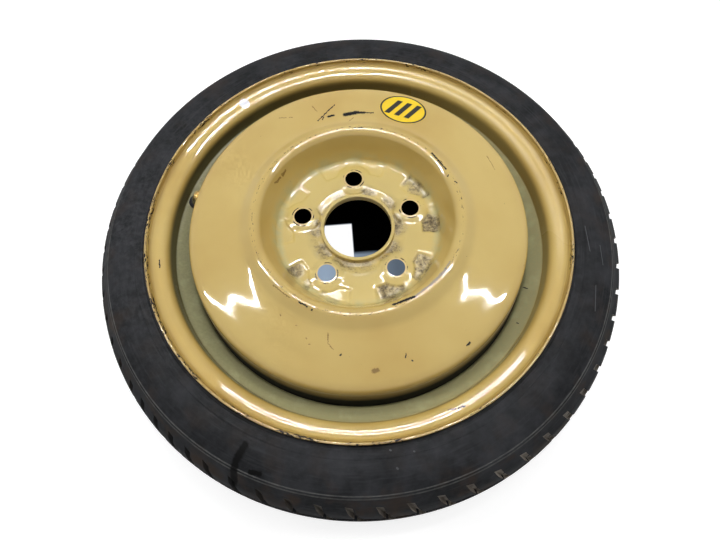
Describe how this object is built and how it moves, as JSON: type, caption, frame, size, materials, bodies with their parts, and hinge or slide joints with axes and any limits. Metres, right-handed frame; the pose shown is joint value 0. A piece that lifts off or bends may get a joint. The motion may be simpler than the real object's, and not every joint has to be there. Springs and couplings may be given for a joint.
{
  "type": "space saver spare wheel",
  "caption": "Narrow temporary spare car wheel: painted pressed-steel disc wheel with a deep domed face, a thin tyre fitted and a snap-in valve without its cap.",
  "frame": {"origin": "centre of the wheel's axis, in the plane of the inner rim flange that the wheel lies on", "axes": "+Z along the wheel's axis towards its outer face, +Y through one of the bolt holes"},
  "size_m": [0.5328, 0.5328, 0.1379],
  "materials": {
    "tyre_rubber": "weathered",
    "wheel_paint": "gloss, worn",
    "valve_rubber": "matte",
    "valve_brass": "dull",
    "core_seal": "matte",
    "spring_steel": "bright",
    "label_film": "gloss"
  },
  "bodies": {
    "wheel": {"tyre": "tyre_rubber", "wheel_rim": "wheel_paint", "wheel_disc": "wheel_paint", "disc_welds": "wheel_paint", "valve_rubber": "valve_rubber", "valve_stem": "valve_brass", "valve_core_plug": "valve_brass", "valve_core_barrel": "valve_brass", "valve_core_seal": "core_seal", "valve_core_spring": "spring_steel", "dome_label": "label_film"},
    "valve_pin": {"valve_core_pin": "valve_brass", "valve_core_cup": "core_seal"}
  },
  "joints": [
    {"name": "valve_pin_slide", "type": "slide", "parent": "wheel", "child": "valve_pin", "axis": [-0.4467, 0.1443, -0.883], "range_m": [0, 0.0012], "stiffness_N_per_m": 1500, "springref_m": -0.002, "deforming": ["valve_core_spring"]}
  ]
}
